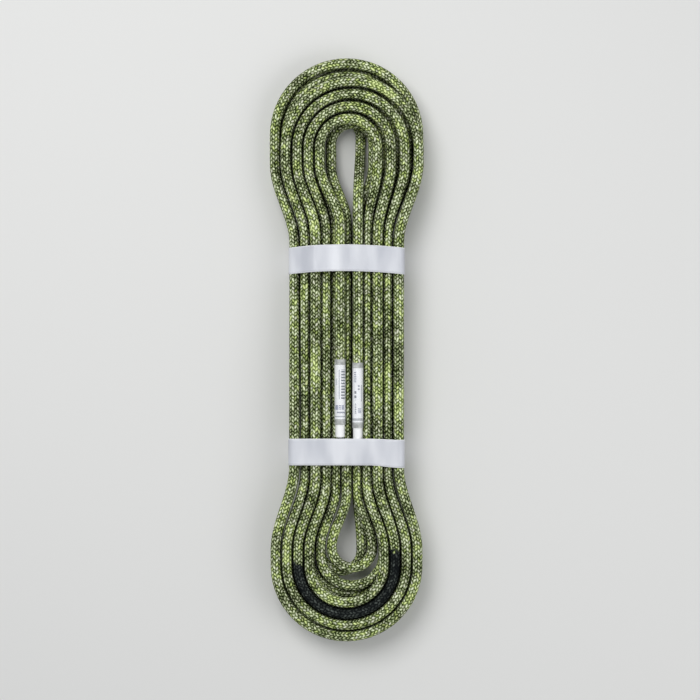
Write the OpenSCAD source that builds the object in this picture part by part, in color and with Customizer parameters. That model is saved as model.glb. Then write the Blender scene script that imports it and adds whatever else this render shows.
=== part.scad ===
// Dynamic climbing rope, put up as a flat hank with two film bands.
// The hank lies on its back: +Z is its front, +Y its upper end, and the floor is z = 0.

/* [Rope] */
// Diameter of the rope
rope_d = 9.5; // [8.5:0.1:10.5]
// Thickness of the braided sheath
sheath_t = 0.9; // [0.7:0.1:1.2]
// Free gap between strands that lie side by side or on each other
lay_gap = 0.6; // [0.5:0.1:1]

/* [Hank] */
// Distance of the upper bends' centres from the middle of the hank
upper_bend_y = 198.75; // [190:0.25:240]
// Distance of the lower bends' centres from the middle of the hank
lower_bend_y = 199.85; // [190:0.05:240]
// Distance of the front layer's upper bends' centres from the middle of the hank
front_bend_y = 186; // [180:0.5:195]
// How much lower the innermost upper bends of the middle layers lie
upper_bend_drop = 9; // [0:0.5:9]
// How much higher each layer's innermost lower bend would lie at the axis, back layer first
lower_bend_rises = [10.4, 17.8, 19.2, 0]; // [0:0.1:20]
// Distance of the innermost strand from the hank's axis, at the upper bends
upper_eye_x = 14.5; // [14:0.1:16]
// Distance of the innermost strand from the hank's axis, at the lower bends
lower_eye_x = 13.9; // [13.8:0.1:16]
// Distance of the front layer's innermost right strand from the axis, at the upper bends
front_inner_x = 28.5; // [26:0.1:32]
// Free gap between neighbouring turns at the upper bends
upper_gap = 0.9; // [0.7:0.1:1.4]
// Free gap between neighbouring turns at the lower bends
lower_gap = 0.8; // [0.7:0.1:1.4]
// Turns that lie side by side in one layer
turns = 5; // [4:1:5]
// Layers of turns
layers = 4; // [2:2:4]

/* [Waist] */
// Upper end of the straight waist, above the middle of the hank
waist_up = 98; // [97:1:104]
// Lower end of the straight waist, below the middle of the hank
waist_down = 109; // [109:1:114]
// Length over which the strands spread from the waist to their full width at the upper end
flare_up_l = 73; // [70:1:80]
// The same at the lower end
flare_down_l = 76; // [70:1:80]
// How much further up than the outermost strand the innermost one begins to spread
later_up_l = 20; // [0:1:26]
// The same further down, at the lower end
later_down_l = 26; // [0:1:28]
// How much before the outermost strand the innermost one ends its spread
sooner_l = 1.5; // [0:0.1:4]
// Where the strands begin to settle from the waist's height to their layers, at the upper end
settle_up_y = 112; // [98:1:120]
// Length over which they settle at the upper end
settle_up_l = 62; // [55:1:72]
// Length over which they settle at the lower end, from the end of the waist
settle_down_l = 68; // [60:1:75]
// Slack that the waist's columns of strands have beyond the closest packing
column_slack = 0.55; // [0.45:0.05:0.7]
// How much deeper than the rope's ends the one strand on the hank's axis lies at the waist
axis_depth = 8.2; // [8:0.1:12]

/* [Rope ends] */
// Place of the left end across the hank
left_end_x = -6; // [-7:0.1:-5.5]
// Place of the right end across the hank
right_end_x = 10.4; // [10:0.1:11]
// Where the left end's marker begins, along the hank
left_marker_y = -9.5; // [-9.5:0.5:20]
// Where the right end's marker begins, along the hank
right_marker_y = -12.5; // [-12.5:0.5:20]
// Length of the clear shrink sleeve on each end
sleeve_l = 60; // [40:1:60]
// Wall of the clear shrink sleeve
sleeve_t = 0.3; // [0.2:0.05:0.4]
// Bare stretch of sleeve that grips the rope beyond the label
sleeve_grip = 5; // [3:0.5:8]
// Thickness of the printed label film
label_t = 0.15; // [0.1:0.05:0.3]
// Width of the slit that the wrapped label leaves at the back
label_slit = 1.5; // [1:0.5:4]
// Length of the heat-fused tip
tip_l = 12; // [8:0.5:12]
// How much thinner than the rope the fused tip is
tip_shrink = 0.7; // [0.2:0.1:1.5]
// Rounding of the fused tip's edge
tip_round = 1.4; // [0.5:0.1:2]
// Free gap between the core's strands, and round them
core_gap = 0.05; // [0.03:0.01:0.1]
// Free gap round the rope under its label and sleeve
wrap_gap = 0.05; // [0.03:0.01:0.1]

/* [Bands] */
// Width of each band
band_w = 24.5; // [18:0.5:27]
// Thickness of the band's film
band_t = 0.4; // [0.2:0.05:0.6]
// Free gap between the strands and the band
band_gap = 0.3; // [0.2:0.05:0.5]
// Length of the lap that closes each band at the back
lap_l = 34; // [20:1:50]
// Middle of the upper band, above the middle of the hank
upper_band_y = 82.5; // [74:0.5:83]
// Middle of the lower band, below the middle of the hank
lower_band_y = 94.5; // [90:0.5:95.5]

/* [Hidden] */

// Colours
sheath_green = [0.55, 0.60, 0.38];
core_white = [0.93, 0.92, 0.88];
label_white = [0.90, 0.91, 0.93];
film_lilac = [0.85, 0.86, 0.91];
sleeve_clear = [0.78, 0.80, 0.80, 0.5];

// A wound tube has six sides, eight rings on each end bend and four on each run
tube_sides = 6;
bend_steps = 7;
dive_steps = 6;
round_fn = 64;
band_fn = 32;

rope_r = rope_d / 2;
lay_pitch = rope_d + lay_gap;
upper_pitch = rope_d + upper_gap;
lower_pitch = rope_d + lower_gap;
column_pitch = lay_pitch * sqrt(3) / 2 + column_slack;
// Every other column of strands sits half a layer higher at the waist
column_rise = lay_pitch / 2;
// Where the rope lies on the floor it is flattened by a tenth of its diameter
floor_z = rope_r - rope_d / 10;
// At the waist the strands lie on the bands, whose lap is double
waist_z = 2 * band_t + band_gap + rope_r;
front_layer = layers - 1;
front_z = waist_z + lay_pitch * front_layer + column_rise;
// The inner lower bends rise out to this strand
rise_fade = 3;
// The tightest fold of the rope has a radius of two diameters
dive_x = 4 * rope_d - upper_eye_x - upper_pitch;
dive_y = upper_bend_y - 7.5 * rope_d;
left = -1;
right = 1;

function lerp(a, b, t) = a + (b - a) * t;
function ease(t) = let (u = min(1, max(0, t))) u * u * (3 - 2 * u);

// A strand is [side, m, layer at its upper end, layer at its lower end], and m is counted from
// the innermost. Its distance from the axis at the upper bends: the front layer's right
// strands make room for the dive
function upper_x(s) =
    let (outermost = upper_eye_x + upper_pitch * turns)
    s[0] == right && s[2] == front_layer
    ? lerp(front_inner_x, outermost, (s[1] - 2) / (turns - 2))
    : upper_eye_x + upper_pitch * s[1];

// The same at the lower bends, where one inner strand is tucked in under the next layer's
function lower_x(s) =
    s[0] == right && s[1] == 1 && s[3] == 1 ? lower_eye_x : lower_eye_x + lower_pitch * s[1];

// The same at the waist, where the strands on both sides of a climb stand a full pitch from it
function waist_x(m) =
    m == 0 ? 0 : lay_pitch + column_pitch * (m - 1) + (m == turns ? lay_pitch - column_pitch : 0);

// Height of layer k where it lies flat, at the end bends
function layer_z(k) = floor_z + lay_pitch * k;

// Where strand m begins and ends its spread
function inner_share(m) = 1 - m / turns;
function flare(from, length, later, m) =
    [from + later * inner_share(m), from + length - sooner_l * inner_share(m)];
function flare_up(m) = flare(waist_up, flare_up_l, later_up_l, m);
function flare_down(m) = flare(waist_down, flare_down_l, later_down_l, m);

// How far strand m has spread from the waist, and how far it has settled, at height y
function done(ends, y) = ease((y - ends[0]) / (ends[1] - ends[0]));
function spread(m, y) = y > 0 ? done(flare_up(m), y) : done(flare_down(m), -y);
function settled(y) =
    y > 0 ? ease((y - settle_up_y) / settle_up_l) : ease((-y - waist_down) / settle_down_l);

// How far a strand has climbed on its way down the straight waist
function climbed(y) = ease((waist_up - y) / (waist_up + waist_down));

function strand_point(s, y, mid_x) =
    let (
        end_x = s[0] * (y > 0 ? upper_x(s) : lower_x(s)),
        low = lerp(layer_z(s[2]), layer_z(s[3]), climbed(y)),
        waist_rise = waist_z - floor_z + (s[1] % 2) * column_rise,
        high = s[1] == 0 ? front_z - axis_depth : low + waist_rise
    )
    [lerp(mid_x, end_x, spread(s[1], y)), y, lerp(high, low, settled(y))];

// Strands in the order in which the rope runs through them. The left ones run down and the
// right ones up. Even layers spiral out and odd ones in, and the last left strand of each
// layer climbs to the next.
function layer_strands(k) =
    k % 2 == 0
    ? [
        for (m = [k == 0 ? 2 : 1 : turns])
            each [[right, m, k, k], [left, m, k, m == turns ? k + 1 : k]]
    ]
    : [
        for (m = [turns : -1 : k == front_layer ? 2 : 1])
            each [[right, m, k, k], [left, m - 1, k, m == 1 ? k + 1 : k]]
    ];
strands = [[left, 1, 0, 0], for (k = [0 : front_layer]) each layer_strands(k)];
last_strand = len(strands) - 1;

// Stations along a run, from its upper to its lower end, close to where its spread begins
// and ends
function stations(m) =
    let (up = flare_up(m), down = flare_down(m))
    [
        lerp(up[0], up[1], 0.94), lerp(up[0], up[1], 0.05),
        -lerp(down[0], down[1], 0.05), -lerp(down[0], down[1], 0.9)
    ];

function run_points(s) =
    let (heights = stations(s[1]), last = len(heights) - 1)
    [
        for (i = [0 : last])
            strand_point(s, heights[s[0] == left ? i : last - i], s[0] * waist_x(s[1]))
    ];

// Half circle over an end bend, from x = a to x = b, at height z
function bend_points(a, b, z, end, centre_y) = [
    for (i = [0 : bend_steps])
        let (turn = 180 * i / bend_steps)
        [(a + b) / 2 + (a - b) / 2 * cos(turn), end * (centre_y + abs(a - b) / 2 * sin(turn)), z]
];

// Heights of the bends' centres: the inner bends of the middle layers lie nearer the waist
function upper_centre(k, mean_m) =
    k == front_layer ? front_bend_y
    : upper_bend_y - (k > 0 ? upper_bend_drop * inner_share(mean_m) : 0);
function lower_centre(k, mean_m) =
    lower_bend_y - lower_bend_rises[k] * max(0, 1 - mean_m / rise_fade);

// The bend that joins strand i to the next one
function joining_bend(i) =
    let (s = strands[i], next = strands[i + 1], mean_m = (s[1] + next[1]) / 2)
    s[0] == left
    ? bend_points(-lower_x(s), lower_x(next), layer_z(s[3]), -1, lower_centre(s[3], mean_m))
    : bend_points(upper_x(s), -upper_x(next), layer_z(s[2]), 1, upper_centre(s[2], mean_m));

// The right end comes up the front, dives through the eye to the floor and turns into layer 0
right_tail = [
    [right_end_x, right_marker_y, front_z],
    for (i = [0 : dive_steps - 1])
        let (y = lerp(dive_y, upper_bend_y, i / dive_steps), t = ease(i / dive_steps))
        [lerp(right_end_x, dive_x, t), y, lerp(front_z, floor_z, t)],
    each bend_points(dive_x, -upper_x(strands[0]), floor_z, 1, upper_bend_y)
];
// The left end comes out of the front layer's innermost bend and runs down the front
left_tail = [
    for (i = [0, 1]) strand_point(strands[last_strand], stations(1)[i], left_end_x),
    [left_end_x, waist_up, front_z],
    [left_end_x, left_marker_y, front_z]
];
route = [
    each right_tail,
    for (i = [0 : last_strand - 1]) each concat(run_points(strands[i]), joining_bend(i)),
    each left_tail
];

function unit(v) = v / norm(v);

// Six-sided ring square to the route, with a flat side down and flattened on the floor
function ring(i) =
    let (
        last = len(route) - 1,
        before = i > 0 ? unit(route[i] - route[i - 1]) : [0, 0, 0],
        after = i < last ? unit(route[i + 1] - route[i]) : [0, 0, 0],
        along = unit(before + after),
        across = unit(cross(along, [0, 0, 1])),
        up = cross(across, along)
    )
    [
        for (j = [0 : tube_sides - 1])
            let (
                turn = 360 * j / tube_sides,
                p = route[i] + rope_r * (cos(turn) * across + sin(turn) * up)
            )
            [p.x, p.y, max(0, p.z)]
    ];

function tube_faces(rings) =
    let (n = tube_sides, top = (rings - 1) * n)
    [
        for (i = [0 : rings - 2], j = [0 : n - 1])
            let (a = i * n + j, b = i * n + (j + 1) % n)
            each [[a, b, b + n], [a, b + n, a + n]],
        for (j = [1 : n - 2]) each [[0, j + 1, j], [top, top + j, top + j + 1]]
    ];

// Least gap of the rope to itself: points along the route, against every stretch of it that
// is more than one end bend away
gap_step = 25;
function stretch_gap(p, a, b) =
    let (ab = b - a, t = min(1, max(0, ((p - a) * ab) / (ab * ab))))
    norm(p - a - ab * t) - rope_d;
function least_gap() =
    let (last = len(route) - 2)
    min([
        for (i = [0 : last])
            let (a = route[i], ab = route[i + 1] - a, parts = ceil(norm(ab) / gap_step))
            for (k = [0 : parts - 1])
                let (p = a + ab * k / parts)
                for (j = [i + bend_steps + 2 : 1 : last])
                    if (max(route[j].z, route[j + 1].z) > p.z - 2 * lay_pitch
                        && min(route[j].z, route[j + 1].z) < p.z + 2 * lay_pitch)
                        stretch_gap(p, route[j], route[j + 1])
    ]);

// The wound rope, one unbroken tube from one end's marker to the other's
module rope_winding() {
    echo(least_gap_to_itself_mm = least_gap());
    echo(strands_at_the_waist = len(strands));
    color(sheath_green)
        polyhedron(
            points = [for (i = [0 : len(route) - 1]) each ring(i)],
            faces = tube_faces(len(route))
        );
}

// Places what lies along a rope end: its local +Z runs down the hank from the marker
module on_end(x, marker_y) {
    translate([x, marker_y, front_z]) rotate([90, 0, 0]) children();
}

// Braided sheath of a rope end, a tube under the marker
module end_sheath() {
    color(sheath_green)
        difference() {
            cylinder(r = rope_r, h = sleeve_l, $fn = round_fn);
            translate([0, 0, -1])
                cylinder(r = rope_r - sheath_t, h = sleeve_l + 2, $fn = round_fn);
        }
}

// Kern of a rope end: six twisted strands round one, each a separate solid
core_strand_r = (rope_r - sheath_t - 3 * core_gap) / 3;
module end_core() {
    color(core_white) {
        cylinder(r = core_strand_r, h = sleeve_l, $fn = round_fn);
        for (turn = [0 : 60 : 300])
            rotate(turn)
                translate([2 * core_strand_r + core_gap, 0, 0])
                    cylinder(r = core_strand_r, h = sleeve_l, $fn = round_fn);
    }
}

// Fused tip: sheath and core melted together into a plug with a rounded edge
module fused_tip() {
    r = rope_r - tip_shrink / 2;
    color(core_white)
        translate([0, 0, sleeve_l])
            rotate_extrude($fn = round_fn) {
                square([r, tip_l - tip_round]);
                square([r - tip_round, tip_l]);
                intersection() {
                    translate([r - tip_round, tip_l - tip_round])
                        circle(r = tip_round, $fn = round_fn);
                    square([r, tip_l]);
                }
            }
}

// Printed label film, wrapped round the rope with its slit at the back
label_l = sleeve_l - 2 * sleeve_grip;
label_r = rope_r + wrap_gap;
module end_label() {
    color(label_white)
        translate([0, 0, sleeve_grip])
            difference() {
                cylinder(r = label_r + label_t, h = label_l, $fn = round_fn);
                translate([0, 0, -1])
                    cylinder(r = label_r, h = label_l + 2, $fn = round_fn);
                translate([-label_slit / 2, -rope_d, -1])
                    cube([label_slit, rope_d, label_l + 2]);
            }
}

// Clear shrink sleeve: it covers the label and necks down onto the rope beyond it
module shrink_sleeve() {
    grip_r = rope_r + wrap_gap;
    over_r = label_r + label_t + wrap_gap;
    neck = sleeve_grip / 2;
    color(sleeve_clear)
        rotate_extrude($fn = round_fn)
            polygon([
                [grip_r, 0],
                [grip_r + sleeve_t, 0],
                [grip_r + sleeve_t, neck],
                [over_r + sleeve_t, sleeve_grip - wrap_gap],
                [over_r + sleeve_t, sleeve_l - sleeve_grip + wrap_gap],
                [grip_r + sleeve_t, sleeve_l - neck],
                [grip_r + sleeve_t, sleeve_l],
                [grip_r, sleeve_l],
                [grip_r, sleeve_l - neck],
                [over_r, sleeve_l - sleeve_grip + wrap_gap],
                [over_r, sleeve_grip - wrap_gap],
                [grip_r, neck]
            ]);
}

// Strands that a band holds, taken as circles in the plane across the hank at height y
module bound_strands(y, r) {
    for (s = strands) {
        p = strand_point(s, y, s[0] * waist_x(s[1]));
        translate([p.x, p.z]) circle(r = r, $fn = band_fn);
    }
    translate([right_end_x, front_z]) circle(r = r, $fn = band_fn);
}

// Film band pulled round the waist: its outline is the hull of the strands, with the closing
// lap glued over it at the back
module band(y) {
    inner_r = rope_r + band_gap;
    color(film_lilac) {
        translate([0, y + band_w / 2, 0])
            rotate([90, 0, 0])
                linear_extrude(band_w)
                    difference() {
                        hull() {
                            bound_strands(y - band_w / 2, inner_r + band_t);
                            bound_strands(y + band_w / 2, inner_r + band_t);
                        }
                        hull() {
                            bound_strands(y - band_w / 2, inner_r);
                            bound_strands(y + band_w / 2, inner_r);
                        }
                    }
        translate([-lap_l / 2, y - band_w / 2, 0])
            cube([lap_l, band_w, 1.5 * band_t]);
    }
}

module left_end_sheath() { on_end(left_end_x, left_marker_y) end_sheath(); }
module right_end_sheath() { on_end(right_end_x, right_marker_y) end_sheath(); }
module left_end_core() { on_end(left_end_x, left_marker_y) end_core(); }
module right_end_core() { on_end(right_end_x, right_marker_y) end_core(); }
module left_fused_tip() { on_end(left_end_x, left_marker_y) fused_tip(); }
module right_fused_tip() { on_end(right_end_x, right_marker_y) fused_tip(); }
module left_end_label() { on_end(left_end_x, left_marker_y) end_label(); }
module right_end_label() { on_end(right_end_x, right_marker_y) end_label(); }
module left_shrink_sleeve() { on_end(left_end_x, left_marker_y) shrink_sleeve(); }
module right_shrink_sleeve() { on_end(right_end_x, right_marker_y) shrink_sleeve(); }
module upper_band() { band(upper_band_y); }
module lower_band() { band(-lower_band_y); }

rope_winding();
left_end_sheath();
right_end_sheath();
left_end_core();
right_end_core();
left_fused_tip();
right_fused_tip();
left_end_label();
right_end_label();
left_shrink_sleeve();
right_shrink_sleeve();
upper_band();
lower_band();
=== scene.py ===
import math

import bmesh
import bpy
from mathutils import Matrix, Vector
from mathutils.geometry import convex_hull_2d


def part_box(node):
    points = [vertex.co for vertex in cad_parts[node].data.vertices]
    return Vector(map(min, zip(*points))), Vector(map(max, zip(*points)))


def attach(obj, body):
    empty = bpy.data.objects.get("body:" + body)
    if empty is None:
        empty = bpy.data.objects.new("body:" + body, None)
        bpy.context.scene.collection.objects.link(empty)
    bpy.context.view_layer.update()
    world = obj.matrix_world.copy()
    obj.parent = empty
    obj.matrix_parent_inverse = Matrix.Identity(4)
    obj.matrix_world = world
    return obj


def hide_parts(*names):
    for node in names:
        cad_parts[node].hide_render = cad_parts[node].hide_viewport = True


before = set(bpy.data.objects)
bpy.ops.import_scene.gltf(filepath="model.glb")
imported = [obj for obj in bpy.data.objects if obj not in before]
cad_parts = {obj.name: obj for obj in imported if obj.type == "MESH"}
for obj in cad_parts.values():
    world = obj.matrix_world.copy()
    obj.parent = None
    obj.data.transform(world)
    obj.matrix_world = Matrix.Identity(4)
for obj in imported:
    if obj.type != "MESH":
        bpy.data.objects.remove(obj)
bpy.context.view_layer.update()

# Camera: it hangs straight over the hank, which lies on its back on the floor with its upper
# end up the picture. A long lens keeps the strands parallel, as in a catalogue view, and shows
# view_width at the height of the front strands.
MM = 0.001
front_plane = 41 * MM
view_width = 644 * MM
view_middle = (3.2 * MM, -0.9 * MM)
lens_mm, sensor_mm = 100, 36
camera_data = bpy.data.cameras.new("overhead_camera")
camera_data.lens = lens_mm
camera_data.sensor_width = sensor_mm
camera = bpy.data.objects.new("overhead_camera", camera_data)
camera.location = (*view_middle, front_plane + view_width * lens_mm / sensor_mm)
bpy.context.scene.collection.objects.link(camera)
bpy.context.scene.camera = camera


# Rope: one 9.5 mm kernmantle rope, about 20 m long, wound into a flat hank of 37 strands in
# four layers. Each layer spirals out or in, and the next lies on it. The right end dives
# through the upper eye to the floor, and the left one leaves the front layer's inner bend.
rope_d = 9.5
rope_r = rope_d / 2
rope_sides = 24
lay_gap = 0.6
lay_pitch = rope_d + lay_gap
turns = 5
layers = 4
front_layer = layers - 1
# On the floor a strand is flattened by a tenth
floor_z = rope_r - rope_d / 10
# At the waist every other strand lies half a layer higher, so that they can lie closer, and
# all of them lie on the two thicknesses of a band's lap
column_pitch = 9.3
column_rise = lay_pitch / 2
film_t, film_gap = 0.4, 0.3
waist_z = 2 * film_t + film_gap + rope_r
front_z = waist_z + lay_pitch * front_layer + column_rise
# The strand on the axis lies this far under the front ones
axis_depth = 8.2

# The strands run straight between these heights, and spread and settle beyond them
waist_up, waist_down = 98, 109
flare_up_l, flare_down_l = 73, 76
later_up_l, later_down_l, sooner_l = 20, 26, 1.5
settle_up_y, settle_up_l, settle_down_l = 112, 62, 68
# End bends: centre heights and distances from the axis
bend_up_y, bend_down_y = 198.75, 199.85
front_bend_y = 186
eye_up_x, pitch_up = 14.5, 10.4
eye_down_x, pitch_down = 13.9, 10.3
front_inner_x = 28.5
# Inner bends lie nearer to the waist by up to this much. At the lower end each layer has its
# own rise, which fades out by the third strand.
eye_rise_up = 9
eye_rises_down = [10.4, 17.8, 19.2, 0]
rise_fade = 3
left, right = -1, 1

# The two rope ends come down the front, and marker_y is the top of a sleeve. The right one
# lies straight over two more heights, and then dives into the first bend.
tails = {
    "left": {"x": -6, "marker_y": -9.5},
    "right": {"x": 10.4, "marker_y": -12.5},
}
sleeve_l = 60
straight_ys = 30, 70
dive_l = 7.5 * rope_d
first_bend_r = 2 * rope_d


def lerp(a, b, t):
    return a + (b - a) * t


def ease(t):
    u = min(1, max(0, t))
    return u * u * (3 - 2 * u)


def upper_x(side, m, layer):
    outermost = eye_up_x + pitch_up * turns
    if side == right and layer == front_layer:
        return lerp(front_inner_x, outermost, (m - 2) / (turns - 2))
    return eye_up_x + pitch_up * m


def lower_x(side, m, layer):
    tucked = side == right and layer == 1 and m == 1
    return eye_down_x + (0 if tucked else pitch_down * m)


def waist_x(m):
    last = lay_pitch - column_pitch if m == turns else 0
    return 0 if m == 0 else lay_pitch + column_pitch * (m - 1) + last


def upper_bend_y(layer, mean_m):
    if layer == front_layer:
        return front_bend_y
    return bend_up_y - (eye_rise_up * (1 - mean_m / turns) if layer else 0)


def lower_bend_y(layer, mean_m):
    return bend_down_y - eye_rises_down[layer] * max(0, 1 - mean_m / rise_fade)


def strand_point(side, m, top_layer, bottom_layer, y, mid_x):
    """A strand's point at height y, in mm, where mid_x is the strand's place at the waist."""
    inner = 1 - m / turns
    if y > 0:
        end_x = upper_x(side, m, top_layer)
        start = waist_up + later_up_l * inner
        end = waist_up + flare_up_l - sooner_l * inner
        spread = ease((y - start) / (end - start))
        settled = ease((y - settle_up_y) / settle_up_l)
    else:
        end_x = lower_x(side, m, bottom_layer)
        start = waist_down + later_down_l * inner
        end = waist_down + flare_down_l - sooner_l * inner
        spread = ease((-y - start) / (end - start))
        settled = ease((-y - waist_down) / settle_down_l)
    climbed = ease((waist_up - y) / (waist_up + waist_down))
    low = floor_z + lay_pitch * lerp(top_layer, bottom_layer, climbed)
    waist_rise = waist_z - floor_z + (m % 2) * column_rise
    high = low + waist_rise if m else front_z - axis_depth
    return Vector((lerp(mid_x, side * end_x, spread), y, lerp(high, low, settled)))


def bend_points(a, b, z, end, centre_y, steps):
    """Half a circle from x = a to x = b, at the upper end, 1, or the lower one, -1."""
    centre, radius = (a + b) / 2, (a - b) / 2
    turned = [math.pi * i / steps for i in range(steps + 1)]
    return [
        Vector((centre + radius * math.cos(t), end * (centre_y + abs(radius) * math.sin(t)), z))
        for t in turned
    ]


def hank_strands():
    """Every strand in the order of the winding: its side, its place out from the axis, and its
    layers at the top and at the bottom."""
    strands = [(left, 1, 0, 0)]
    for k in range(layers):
        if k % 2 == 0:
            for m in range(2 if k == 0 else 1, turns + 1):
                strands += [(right, m, k, k), (left, m, k, k + 1 if m == turns else k)]
        else:
            for m in range(turns, 1 if k == front_layer else 0, -1):
                strands += [(right, m, k, k), (left, m - 1, k, k + 1 if m == 1 else k)]
    # The last one is the left tail
    return strands


strands = hank_strands()
# Spacing of the route's points on the runs and across the waist, and points in a bend and dive
run_step, waist_step = 8, 26
bend_steps, dive_steps = 28, 24
# The middle mark is in the bend under this strand
mark_strand = next(i for i, s in enumerate(strands) if s == (left, 3, front_layer, front_layer))


def run_heights(top, bottom):
    """Heights of a strand's points, closer together where it bends."""
    heights = [top]
    y = top
    while y > bottom:
        y -= waist_step if -waist_down + waist_step < y < waist_up else run_step
        heights.append(max(y, bottom))
    return heights


def laid_route():
    """Points of the whole rope, and the numbers of the points between which it is dyed."""
    points = []
    tail = tails["right"]
    tip_y = tail["marker_y"] - sleeve_l
    points += [Vector((tail["x"], y, front_z)) for y in (tip_y, tail["marker_y"], *straight_ys)]
    inner_x = upper_x(left, 1, 0)
    dive_x = 2 * first_bend_r - inner_x
    for i in range(dive_steps):
        down = ease(i / dive_steps)
        y = bend_up_y - dive_l * (1 - i / dive_steps)
        points.append(Vector((lerp(tail["x"], dive_x, down), y, lerp(front_z, floor_z, down))))
    points += bend_points(dive_x, -inner_x, floor_z, 1, bend_up_y, bend_steps)
    top_y = bend_up_y
    for i, (side, m, top, bottom) in enumerate(strands):
        mid_x = side * waist_x(m)
        if i == len(strands) - 1:
            tail = tails["left"]
            tip_y = tail["marker_y"] - sleeve_l
            for y in run_heights(top_y, tail["marker_y"])[1:]:
                points.append(strand_point(side, m, top, bottom, y, tail["x"]))
            points.append(Vector((tail["x"], tip_y, front_z)))
            break
        after = strands[i + 1]
        mean_m = (m + after[1]) / 2
        if side == left:
            bottom_y = -lower_bend_y(bottom, mean_m)
            heights = run_heights(top_y, bottom_y)[1:-1]
        else:
            top_y = upper_bend_y(top, mean_m)
            heights = run_heights(top_y, bottom_y)[-2:0:-1]
        points += [strand_point(side, m, top, bottom, y, mid_x) for y in heights]
        if side == left:
            ends = -lower_x(left, m, bottom), lower_x(right, after[1], bottom)
            bend = bend_points(*ends, floor_z + lay_pitch * bottom, -1, -bottom_y, bend_steps)
        else:
            ends = upper_x(right, m, top), -upper_x(left, after[1], top)
            bend = bend_points(*ends, floor_z + lay_pitch * top, 1, top_y, bend_steps)
        if i == mark_strand:
            mark = (len(points), len(points) + bend_steps)
        points += bend
    return [p * MM for p in points], mark


route, mark = laid_route()
lengths = [0.0]
for before, after in zip(route, route[1:]):
    lengths.append(lengths[-1] + (after - before).length)
mark_past_bend = 10.5 * MM
mark_from = lengths[mark[0]]
mark_to = lengths[mark[1]] + mark_past_bend


def new_piece(name, bm):
    """Makes a finished bmesh an object of the scene."""
    mesh = bpy.data.meshes.new(name)
    bm.to_mesh(mesh)
    bm.free()
    piece = bpy.data.objects.new(name, mesh)
    bpy.context.scene.collection.objects.link(piece)
    return piece


def laid_tube(name, path, radius, sides):
    """A straight closed cylinder, cut into rings and laid along the path. Its UV map has the
    share of the way round, and the length along it in metres."""
    steps = len(path) - 1
    bm = bmesh.new()
    bmesh.ops.create_cone(
        bm, cap_ends=True, segments=sides, radius1=1, radius2=1, depth=steps,
        matrix=Matrix.Translation((0, 0, steps / 2)),
    )
    long_edges = [e for e in bm.edges if abs(e.verts[0].co.z - e.verts[1].co.z) > steps / 2]
    bmesh.ops.subdivide_edges(bm, edges=long_edges, cuts=steps - 1, use_grid_fill=True)
    run = [0.0]
    for a, b in zip(path, path[1:]):
        run.append(run[-1] + (b - a).length)
    uv = bm.loops.layers.uv.new("along")
    for face in bm.faces:
        face.smooth = len(face.verts) == 4
        middle = face.calc_center_median()
        facing = math.atan2(middle.y, middle.x)
        for loop in face.loops:
            co = loop.vert.co
            turn = math.atan2(co.y, co.x)
            turn += math.tau * round((facing - turn) / math.tau)
            loop[uv].uv = (turn / math.tau + 1, run[round(co.z)])
    up = Vector((0, 0, 1))
    frames = []
    for i, centre in enumerate(path):
        along = (path[min(i + 1, steps)] - path[max(i - 1, 0)]).normalized()
        across = along.cross(up).normalized()
        frames.append((centre, across, across.cross(along)))
    for v in bm.verts:
        centre, across, lift = frames[round(v.co.z)]
        v.co = centre + (across * v.co.x + lift * v.co.y) * radius
        v.co.z = max(v.co.z, 0)
    return new_piece(name, bm)


rope = laid_tube("climbing_rope", route, rope_r * MM, rope_sides)


def colour(hex_code):
    """sRGB hex to the linear colour that a socket takes."""
    srgb = [int(hex_code[i:i + 2], 16) / 255 for i in (1, 3, 5)]
    linear = [c / 12.92 if c <= 0.04045 else ((c + 0.055) / 1.055) ** 2.4 for c in srgb]
    return (*linear, 1)


def join(tree, node, inputs):
    """Sets or links a node's inputs, given by name, or in the order of those in use. Another
    node stands for its first output in use."""
    if isinstance(inputs, dict):
        pairs = [(node.inputs[name], value) for name, value in inputs.items()]
    else:
        pairs = zip([socket for socket in node.inputs if socket.enabled], inputs)
    for socket, value in pairs:
        if isinstance(value, bpy.types.Node):
            value = next(output for output in value.outputs if output.enabled)
        if isinstance(value, bpy.types.NodeSocket):
            tree.links.new(value, socket)
        else:
            socket.default_value = value


def add_node(tree, kind, inputs=(), **settings):
    made = tree.nodes.new("ShaderNode" + kind)
    for name, value in settings.items():
        setattr(made, name, value)
    join(tree, made, inputs)
    return made


def new_material(name):
    material = bpy.data.materials.new(name)
    material.use_nodes = True
    tree = material.node_tree
    return material, tree, tree.nodes["Principled BSDF"]


# Braided polyamide sheath: columns of yarn picks, which lean by turns to the left and right.
# Each yarn is a plump matt bundle, so its picks are ovals, with painted shade in the dark gaps
# round them and a painted highlight on their crowns. Most yarns are grey-green or olive, and
# some of both senses are lime, so that they cross in an X.
braid, tree, shader = new_material("braided_polyamide_sheath")
# The real picks are finer: these are as coarse as they need to be to show
columns = 12
pick_l = 3.7 * MM
pick_height = 0.8 * MM
lean = 0.45
unwound = add_node(tree, "SeparateXYZ", [add_node(tree, "UVMap", uv_map="along")])
around = add_node(tree, "Math", (unwound.outputs["X"], columns), operation="MULTIPLY")
along = unwound.outputs["Y"]
column = add_node(tree, "Math", [around], operation="FLOOR")
across_column = add_node(tree, "Math", [around], operation="FRACT")
across_pick = add_node(tree, "Math", (across_column, 0.5), operation="SUBTRACT")
odd = add_node(tree, "Math", (column, 2), operation="FLOORED_MODULO")
sense = add_node(tree, "Math", (odd, 2, -1), operation="MULTIPLY_ADD")
leaning = add_node(tree, "Math", (across_pick, sense), operation="MULTIPLY")
stagger = add_node(tree, "Math", (odd, 0.5), operation="MULTIPLY")
leaned = add_node(tree, "Math", (leaning, lean, stagger), operation="MULTIPLY_ADD")
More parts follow.
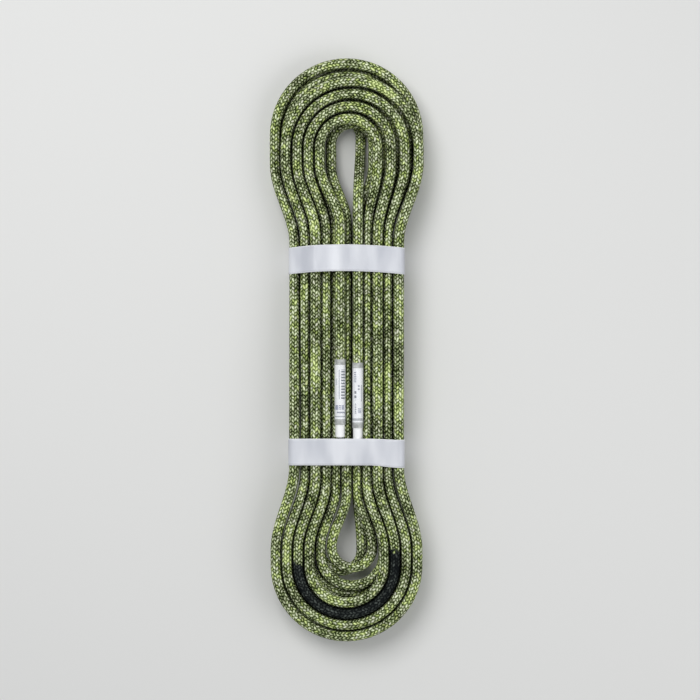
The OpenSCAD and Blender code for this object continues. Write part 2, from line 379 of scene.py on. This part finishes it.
# The picks don't lie quite evenly along the rope, and each column has its own slack
slack_l, slack_picks, column_apart = 9 * MM, 1.5, 5
slack_along = add_node(tree, "Math", (along, slack_l), operation="DIVIDE")
slack_column = add_node(tree, "Math", (column, column_apart), operation="MULTIPLY")
slack_place = add_node(tree, "CombineXYZ", (slack_along, slack_column))
slack = add_node(tree, "TexNoise", {"Vector": slack_place, "Scale": 1}, noise_dimensions="2D")
slid = add_node(tree, "Math", (slack, slack_picks), operation="MULTIPLY")
picks_along = add_node(tree, "Math", (along, pick_l), operation="DIVIDE")
picks_along = add_node(tree, "Math", (picks_along, leaned), operation="ADD")
picks_along = add_node(tree, "Math", (picks_along, slid), operation="ADD")
row = add_node(tree, "Math", [picks_along], operation="FLOOR")
along_row = add_node(tree, "Math", [picks_along], operation="FRACT")
along_pick = add_node(tree, "Math", (along_row, 0.5), operation="SUBTRACT")
# A pick's crown falls away roundly to its sides and more evenly to its ends
side_round, side_depth, end_round = 2.0, 0.7, 1.2
side_fall = add_node(tree, "Math", (across_pick, 2), operation="MULTIPLY")
side_fall = add_node(tree, "Math", [side_fall], operation="ABSOLUTE")
side_fall = add_node(tree, "Math", (side_fall, side_round), operation="POWER")
side_fall = add_node(tree, "Math", (side_fall, side_depth), operation="MULTIPLY")
end_fall = add_node(tree, "Math", (along_pick, 2), operation="MULTIPLY")
end_fall = add_node(tree, "Math", [end_fall], operation="ABSOLUTE")
end_fall = add_node(tree, "Math", (end_fall, end_round), operation="POWER")
fall = add_node(tree, "Math", (side_fall, end_fall), operation="ADD")
crown = add_node(tree, "Math", (1, fall), operation="SUBTRACT")
crown = add_node(tree, "Math", (crown, 0), operation="MAXIMUM")
# A yarn keeps its number as it winds round the rope
pair = add_node(tree, "Math", (column, 2), operation="DIVIDE")
pair = add_node(tree, "Math", [pair], operation="FLOOR")
yarn = add_node(tree, "Math", (row, sense, pair), operation="MULTIPLY_ADD")
yarn = add_node(tree, "Math", (yarn, columns / 2), operation="FLOORED_MODULO")
yarn = add_node(tree, "Math", (odd, columns, yarn), operation="MULTIPLY_ADD")
pick_place = add_node(tree, "CombineXYZ", (column, row))
pick_noise = add_node(tree, "TexWhiteNoise", {"Vector": pick_place}, noise_dimensions="2D")
pick_chance = pick_noise.outputs["Value"]
pick_chances = add_node(tree, "SeparateXYZ", [pick_noise.outputs["Color"]])
# Lighter and darker stretches, and the fluff of worn filaments over the picks
patch_l, fluff_l, fluffs_across = 45 * MM, 2.2 * MM, 1.7
patch_along = add_node(tree, "Math", (along, patch_l), operation="DIVIDE")
patch = add_node(tree, "TexNoise", {"W": patch_along, "Scale": 1}, noise_dimensions="1D")
fluff_around = add_node(tree, "Math", (around, fluffs_across), operation="MULTIPLY")
fluff_along = add_node(tree, "Math", (along, fluff_l), operation="DIVIDE")
fluff_place = add_node(tree, "CombineXYZ", (fluff_around, fluff_along))
fluff_settings = {"Vector": fluff_place, "Scale": 1, "Detail": 1}
fluff = add_node(tree, "TexNoise", fluff_settings, noise_dimensions="2D")
# How much each of these lightens the yarn, from the gaps' black, which is painted shade, to the
# crowns' pale green, which is a painted highlight
crown_highlight_tone, chance_tone, fluff_tone, patch_tone, gap_shade_tone = 0.6, 0.36, 0.38, 0.45, -0.09
tone = add_node(tree, "Math", (pick_chance, chance_tone, gap_shade_tone), operation="MULTIPLY_ADD")
tone = add_node(tree, "Math", (crown, crown_highlight_tone, tone), operation="MULTIPLY_ADD")
tone = add_node(tree, "Math", (fluff, fluff_tone, tone), operation="MULTIPLY_ADD")
patch_above = add_node(tree, "Math", (patch, 0.5), operation="SUBTRACT")
tone = add_node(tree, "Math", (patch_above, patch_tone, tone), operation="MULTIPLY_ADD")
yarn_shades = [
    (0.0, "#040800"), (0.2, "#29350E"), (0.45, "#778456"), (0.68, "#BAC796"), (0.9, "#F3FAD9"),
]
shaded_yarn = add_node(tree, "ValToRGB", [tone])
while len(shaded_yarn.color_ramp.elements) < len(yarn_shades):
    shaded_yarn.color_ramp.elements.new(0.5)
for element, (place, code) in zip(shaded_yarn.color_ramp.elements, yarn_shades):
    element.position, element.color = place, colour(code)
# One yarn in three is lime for about half of its picks, and the others here and there, more so
# in the lighter stretches. In the darker ones more picks are grey.
lime, grey = colour("#F8FFD0"), colour("#F0EBF8")
lime_yarn_level, lime_patch_level, lime_base_level = 0.4, 1.6, -0.68
grey_base_level = 0.2
third = add_node(tree, "Math", (yarn, 3), operation="FLOORED_MODULO")
lime_yarn = add_node(tree, "Math", (third, 0.5), operation="LESS_THAN")
lime_level = add_node(
    tree, "Math", (patch, lime_patch_level, lime_base_level), operation="MULTIPLY_ADD"
)
lime_level = add_node(
    tree, "Math", (lime_yarn, lime_yarn_level, lime_level), operation="MULTIPLY_ADD"
)
is_lime = add_node(tree, "Math", (pick_chances.outputs["Y"], lime_level), operation="LESS_THAN")
yarned = add_node(
    tree, "Mix", (is_lime, shaded_yarn, lime), data_type="RGBA", blend_type="MULTIPLY"
)
grey_level = add_node(tree, "Math", (patch, grey_base_level), operation="ADD")
is_grey = add_node(
    tree, "Math", (pick_chances.outputs["Z"], grey_level), operation="GREATER_THAN"
)
yarned = add_node(tree, "Mix", (is_grey, yarned, grey), data_type="RGBA", blend_type="MULTIPLY")
# Middle mark: a stretch dyed near black, which begins and ends pick by pick
ragged_l, dye_edge_l = 6 * MM, 2 * MM
dyed_black, dyed_crown_highlight = colour("#0C1012"), colour("#5A615C")
ragged = add_node(tree, "Math", (pick_chance, ragged_l, along), operation="MULTIPLY_ADD")
dyed_from = add_node(tree, "MapRange", (ragged, mark_from, mark_from + dye_edge_l))
last_dyed = mark_to + ragged_l
dyed_to = add_node(tree, "MapRange", (ragged, last_dyed, last_dyed + dye_edge_l))
dyed = add_node(tree, "Math", (dyed_from, dyed_to), operation="SUBTRACT")
# Painted highlight: the dyed picks are lighter on their crowns, some picks more than others
dyed_highlight_share = add_node(tree, "Math", (pick_chance, crown), operation="MULTIPLY")
ink = add_node(tree, "Mix", (dyed_highlight_share, dyed_black, dyed_crown_highlight), data_type="RGBA")
yarned = add_node(tree, "Mix", (dyed, yarned, ink), data_type="RGBA")
# Painted shade: the colour darkens towards black where the rope's strands lie close to one
# another
contact_shade_reach, contact_shade_black, contact_shade_clear = 6 * MM, 0.2, 0.74
contact_shade = add_node(
    tree, "AmbientOcclusion", {"Distance": contact_shade_reach}, samples=6, only_local=True
)
unshaded_share = add_node(tree, "MapRange", (contact_shade.outputs["AO"], contact_shade_black, contact_shade_clear))
shaded = add_node(tree, "Mix", (unshaded_share, colour("#000000"), yarned), data_type="RGBA")
relief = add_node(tree, "Math", [crown], operation="SQRT")
plump = add_node(tree, "Bump", {"Height": relief, "Distance": pick_height, "Strength": 1})
join(tree, shader, {
    "Base Color": shaded, "Normal": plump, "Roughness": 0.7, "Specular IOR Level": 0.06,
    "IOR": 1.53,
})
rope.data.materials.append(braid)
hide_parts("rope_winding", "left_end_sheath", "right_end_sheath")
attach(rope, "root")

# Fused tips and cores: the ends of the core's white polyamide strands, cut hot, so that core
# and sheath have run together into a smooth hard plug with a dull shine.
melt, tree, shader = new_material("fused_white_polyamide")
cloud_l, ripple_height = 4.545 * MM, 0.15 * MM
place = add_node(tree, "TexCoord").outputs["Object"]
cloudy = add_node(tree, "TexNoise", {"Vector": place, "Scale": 1 / cloud_l, "Detail": 3})
milky = add_node(
    tree, "Mix", (cloudy, colour("#F6F8F7"), colour("#FFFFFF")), data_type="RGBA"
)
ripple = add_node(tree, "Bump", {"Height": cloudy, "Distance": ripple_height, "Strength": 0.4})
join(tree, shader, {"Base Color": milky, "Normal": ripple, "Roughness": 0.45, "IOR": 1.53})


def dress(node_name, material):
    """Gives a CAD node that stays its finish."""
    cad_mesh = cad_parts[node_name].data
    cad_mesh.materials.clear()
    cad_mesh.materials.append(material)


for side in tails:
    for part in ("end_core", "fused_tip"):
        dress(f"{side}_{part}", melt)

# Labels: printed white film with a soft sheen, wrapped once round each rope end. The print is
# plain bars and rows of ticks, without lettering.
tick_share = 0.6
full_width = -99, 99
# Each print in mm: left, right, upper and lower edge, spacing of its ticks or 0, and colour
prints = {
    "left": [
        (-4.9, -1.6, -18.6, -47.0, 2.7, "#5F6573"),
        (-7.1, -6.3, -19.0, -46.0, 0, "#A4A9B4"),
        (-9.6, -8.8, -27.0, -33.0, 0, "#B4B8C2"),
        (-10.3, -7.7, -51.4, -55.8, 0, "#9096B2"),
        (-7.2, -4.9, -51.4, -55.8, 1.5, "#8A90AC"),
        (-4.4, -2.2, -51.4, -55.8, 0, "#9CA2B8"),
        (-8.9, -1.4, -57.5, -59.0, 0, "#9498A6"),
        (*full_width, -61.4, -62.6, 0, "#AEB2B9"),
    ],
    "right": [
        (7.0, 8.9, -20.5, -30.5, 1.7, "#8A90A2"),
        (10.4, 12.1, -32.0, -38.0, 2.9, "#9BA0AC"),
        (7.2, 9.0, -38.6, -47.0, 4.1, "#636974"),
        (13.3, 14.0, -33.0, -48.0, 0, "#9FA4B0"),
        (7.6, 8.9, -50.0, -59.5, 1.6, "#7D8390"),
        (10.5, 13.6, -54.4, -58.8, 1.2, "#7F86A6"),
        (*full_width, -63.6, -65.8, 0, "#ACB0B4"),
    ],
}
for side in tails:
    film, tree, shader = new_material(f"{side}_printed_label_film")
    split = add_node(tree, "SeparateXYZ", [add_node(tree, "TexCoord").outputs["Object"]])
    x_mm = add_node(tree, "Math", (split.outputs["X"], MM), operation="DIVIDE")
    y_mm = add_node(tree, "Math", (split.outputs["Y"], MM), operation="DIVIDE")
    printed = colour("#FAFBFC")
    for x0, x1, high, low, tick, code in prints[side]:
        width, height = x1 - x0, high - low
        in_x = add_node(tree, "Math", (x_mm, (x0 + x1) / 2, width / 2), operation="COMPARE")
        in_y = add_node(tree, "Math", (y_mm, (low + high) / 2, height / 2), operation="COMPARE")
        inked = add_node(tree, "Math", (in_x, in_y), operation="MULTIPLY")
        if tick:
            ticks = add_node(tree, "Math", (y_mm, tick), operation="FLOORED_MODULO")
            ticked = add_node(tree, "Math", (ticks, tick * tick_share), operation="LESS_THAN")
            inked = add_node(tree, "Math", (inked, ticked), operation="MULTIPLY")
        printed = add_node(tree, "Mix", (inked, printed, colour(code)), data_type="RGBA")
    join(tree, shader, {"Base Color": printed, "Roughness": 0.5})
    dress(f"{side}_end_label", film)

# Shrink sleeves: clear polyolefin tube, shrunk over the label and down onto the rope beyond
# it. It is glossy and nearly clear on the label, and milky where it grips the braid.
wave_l, wave_height = 3.846 * MM, 0.2 * MM
neck_before, neck_after = 0.2 * MM, 0.8 * MM
# How much the clear film covers, and how much more its milky necks do
clear_alpha, neck_alpha_more = 0.12, 0.6
clear_tint, neck_dark, neck_light = colour("#F4F6F9"), colour("#A6A9A7"), colour("#E2E4E2")
grip_low, grip_high = 0.3, 0.7
for side in tails:
    clear, tree, shader = new_material(f"{side}_clear_shrunk_polyolefin")
    place = add_node(tree, "TexCoord").outputs["Object"]
    waves = add_node(tree, "TexNoise", {"Vector": place, "Scale": 1 / wave_l, "Detail": 2})
    uneven = add_node(tree, "Bump", {"Height": waves, "Distance": wave_height, "Strength": 0.3})
    low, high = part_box(f"{side}_end_label")
    middle, half = (low[1] + high[1]) / 2, (high[1] - low[1]) / 2
    split = add_node(tree, "SeparateXYZ", [place])
    from_middle = add_node(tree, "Math", (split.outputs["Y"], middle), operation="SUBTRACT")
    from_middle = add_node(tree, "Math", [from_middle], operation="ABSOLUTE")
    neck = add_node(tree, "MapRange", (from_middle, half - neck_before, half + neck_after))
    gripped = add_node(tree, "MapRange", (waves, grip_low, grip_high))
    milk = add_node(tree, "Mix", (gripped, neck_dark, neck_light), data_type="RGBA")
    tint = add_node(tree, "Mix", (neck, clear_tint, milk), data_type="RGBA")
    alpha = add_node(
        tree, "Math", (neck, neck_alpha_more, clear_alpha), operation="MULTIPLY_ADD"
    )
    join(tree, shader, {
        "Base Color": tint, "Normal": uneven, "Alpha": alpha, "Roughness": 0.2, "IOR": 1.49,
    })
    dress(f"{side}_shrink_sleeve", clear)

# Bands: two strips of satin film, pulled tight round the waist and glued to themselves at the
# back. They bridge the hollows between the strands and sink a little into them, and each has
# slipped a little out of line on the front.
band_w, lap_l = 24.5, 34
band_half_x = 48
round_sides, span_l, width_steps = 48, 1.5, 12
# A strand within this of the front carries the film, and the film sinks between two of them
# by this share of their distance
carry_depth, sag_share = 0.5, 0.035
# A band's front begins at this height and is whole this much higher, and its edges begin to
# droop this far right of the axis
front_from_z, front_rise = 12, 25
droop_from_x, droop_l = 20, 30
# The clouds of haze and the creases run along the hank: their sizes across, along and up
haze_sizes = (22.22 * MM, 71.43 * MM, 22.22 * MM)
crease_sizes = (2.381 * MM, 22.22 * MM, 2.381 * MM)
pull_height = 0.8 * MM
film_dark, film_light, rim_highlight_colour = colour("#C1C4CC"), colour("#E2E4E9"), colour("#EEF0F3")
rim_highlight_from, rim_highlight_to = 0.92, 0.98
haze_low, haze_high, raised_highlight_tone, crease_share = 0.32, 0.68, -0.1, 0.35
band_film, tree, shader = new_material("satin_polyethylene_film")
place = add_node(tree, "TexCoord").outputs["Object"]
split = add_node(tree, "SeparateXYZ", [place])
haze_scale = [1 / size for size in haze_sizes]
haze_place = add_node(tree, "Mapping", {"Vector": place, "Scale": haze_scale})
haze = add_node(tree, "TexNoise", {"Vector": haze_place, "Scale": 1, "Detail": 2})
crease_scale = [1 / size for size in crease_sizes]
crease_place = add_node(tree, "Mapping", {"Vector": place, "Scale": crease_scale})
creases = add_node(tree, "TexNoise", {"Vector": crease_place, "Scale": 1, "Detail": 2})
# Painted highlight: the film is lighter over the raised strands, one in two
raised_turn = math.pi / (column_pitch * MM)
raised_highlight = add_node(tree, "Math", (split.outputs["X"], raised_turn), operation="MULTIPLY")
raised_highlight = add_node(tree, "Math", [raised_highlight], operation="COSINE")
hazed = add_node(tree, "MapRange", (haze, haze_low, haze_high))
hazed_and_highlighted = add_node(tree, "Math", (raised_highlight, raised_highlight_tone, hazed), operation="MULTIPLY_ADD")
lilac = add_node(tree, "Mix", (hazed_and_highlighted, film_dark, film_light), data_type="RGBA")
flat_place = add_node(tree, "SeparateXYZ", [add_node(tree, "UVMap", uv_map="across")])
to_edge = add_node(tree, "Math", (flat_place.outputs["Y"], 2, -1), operation="MULTIPLY_ADD")
to_edge = add_node(tree, "Math", [to_edge], operation="ABSOLUTE")
# Painted highlight along both edges of the band
rim_highlight = add_node(tree, "MapRange", (to_edge, rim_highlight_from, rim_highlight_to))
rim_highlighted = add_node(tree, "Mix", (rim_highlight, lilac, rim_highlight_colour), data_type="RGBA")
uneven = add_node(tree, "Math", (creases, crease_share, haze), operation="MULTIPLY_ADD")
pulled = add_node(tree, "Bump", {"Height": uneven, "Distance": pull_height, "Strength": 0.5})
join(tree, shader, {"Base Color": rim_highlighted, "Normal": pulled, "Roughness": 0.36, "IOR": 1.5})


def film_band(name, middle_y, crest, bow, tilt, droops):
    """crest, bow and tilt shift the band's front along the hank, and droops are how far its
    upper and its lower edge hang down at the right side."""
    held = [(tails["right"]["x"], front_z)]
    for side, m, top, bottom in strands:
        mid_x = side * waist_x(m)
        if (side, m, top) == (left, 1, front_layer):
            mid_x = tails["left"]["x"]
            if middle_y < tails["left"]["marker_y"]:
                continue
        for y in (middle_y - band_w / 2, middle_y + band_w / 2):
            p = strand_point(side, m, top, bottom, y, mid_x)
            held.append((p.x, p.z))
    reach = rope_r + film_gap
    turned = [math.tau * i / round_sides for i in range(round_sides)]
    rounds = [
        Vector((x + reach * math.cos(t), z + reach * math.sin(t)))
        for x, z in held
        for t in turned
    ]
    outline = [rounds[i] for i in convex_hull_2d(rounds)]
    bm = bmesh.new()
    corners = [bm.verts.new((p.x, 0, p.y)) for p in outline]
    spans = [bm.edges.new((a, b)) for a, b in zip(corners, corners[1:] + corners[:1])]
    for span in spans:
        cuts = int(span.calc_length() / span_l)
        if cuts:
            bmesh.ops.subdivide_edges(bm, edges=[span], cuts=cuts)
    supports = sorted(x for x, z in held if z > front_z - carry_depth)
    for v in bm.verts:
        for a, b in zip(supports, supports[1:]):
            if a < v.co.x < b and v.co.z > front_z:
                v.co.z -= sag_share * (b - a) * math.sin(math.pi * (v.co.x - a) / (b - a)) ** 2
    edge = list(bm.edges)
    for _ in range(width_steps):
        out = bmesh.ops.extrude_edge_only(bm, edges=edge)["geom"]
        edge = [g for g in out if isinstance(g, bmesh.types.BMEdge)]
        moved = [g for g in out if isinstance(g, bmesh.types.BMVert)]
        bmesh.ops.translate(bm, verts=moved, vec=(0, band_w / width_steps, 0))
    bmesh.ops.recalc_face_normals(bm, faces=bm.faces)
    turned_over = Matrix.Rotation(math.pi, 4, "X") @ Matrix.Diagonal((lap_l, band_w, 1, 1))
    lap_place = Matrix.Translation((0, band_w / 2, waist_z - reach - film_t)) @ turned_over
    bmesh.ops.create_grid(
        bm, x_segments=width_steps, y_segments=width_steps, size=0.5, matrix=lap_place
    )
    uv = bm.loops.layers.uv.new("across")
    for face in bm.faces:
        face.smooth = True
        for loop in face.loops:
            loop[uv].uv = (loop.vert.co.x, loop.vert.co.y / band_w)
    for v in bm.verts:
        x = v.co.x / band_half_x
        front = ease((v.co.z - front_from_z) / front_rise)
        edge_droop = lerp(droops[1], droops[0], v.co.y / band_w)
        drooped = edge_droop * ease((v.co.x - droop_from_x) / droop_l)
        v.co.y += middle_y - band_w / 2 + front * (crest - bow * x * x + tilt * x - drooped)
        v.co *= MM
    piece = new_piece(name, bm)
    piece.data.materials.append(band_film)
    wall = piece.modifiers.new("wall", "SOLIDIFY")
    wall.thickness = film_t * MM
    wall.offset = 1
    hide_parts(name.replace("_film", ""))
    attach(piece, "root")


film_band("upper_band_film", 82.5, crest=1.3, bow=2.35, tilt=-0.25, droops=(0, 0))
film_band("lower_band_film", -94.5, crest=0, bow=0, tilt=0, droops=(1, 2.4))

# Studio: a plain pale floor, one broad soft box overhead and a weaker fill from one side. The
# floor's far parts and the world look pale, but throw no light on the rope.
floor_drop = 0.3 * MM
# The floor's half width, and where its glow begins and is whole, in metres
floor_reach, glow_from, glow_to = 9, 0.6, 3.5
glow_strength = 0.5
floor_sheet = bmesh.new()
bmesh.ops.create_grid(floor_sheet, x_segments=1, y_segments=1, size=floor_reach)
floor = new_piece("studio_floor", floor_sheet)
floor.location.z = -floor_drop
paper, tree, shader = new_material("matt_white_paper")
place = add_node(tree, "TexCoord").outputs["Object"]
from_rope = add_node(tree, "VectorMath", [place], operation="LENGTH")
far = add_node(tree, "MapRange", (from_rope, glow_from, glow_to))
far_glow = add_node(tree, "Math", (far, glow_strength), operation="MULTIPLY")
seen = add_node(tree, "LightPath").outputs["Is Camera Ray"]
far_glow = add_node(tree, "Math", (far_glow, seen), operation="MULTIPLY")
join(tree, shader, {
    "Base Color": colour("#E4E4E2"), "Roughness": 0.9, "Emission Color": colour("#FFFFFF"),
    "Emission Strength": far_glow,
})
floor.data.materials.append(paper)


def soft_box(name, place, size, watts):
    light = bpy.data.lights.new(name, "AREA")
    light.shape, light.size, light.energy = "SQUARE", size, watts
    lamp = bpy.data.objects.new(name, light)
    lamp.location = place
    lamp.rotation_euler = Vector(place).to_track_quat("Z", "Y").to_euler()
    bpy.context.scene.collection.objects.link(lamp)


soft_box("key_box", (-0.5, 0.7, 1.6), size=1, watts=18.5)
soft_box("fill_box", (0.9, -0.3, 1.2), size=1, watts=5.5)
# The world's strength as a light, and how much brighter it looks to the camera and in gloss
lit_strength, seen_strength_more = 0.35, 0.42
world = bpy.data.worlds.new("studio")
world.use_nodes = True
tree = world.node_tree
rays = add_node(tree, "LightPath").outputs
mirrored = (rays["Is Glossy Ray"], rays["Is Transmission Ray"])
shown = add_node(tree, "Math", mirrored, operation="MAXIMUM")
shown = add_node(tree, "Math", (rays["Is Camera Ray"], shown), operation="MAXIMUM")
strength = add_node(
    tree, "Math", (shown, seen_strength_more, lit_strength), operation="MULTIPLY_ADD"
)
join(tree, tree.nodes["Background"], {"Color": (0.95, 0.97, 1, 1), "Strength": strength})
bpy.context.scene.world = world
bpy.context.scene.view_settings.view_transform = "Standard"
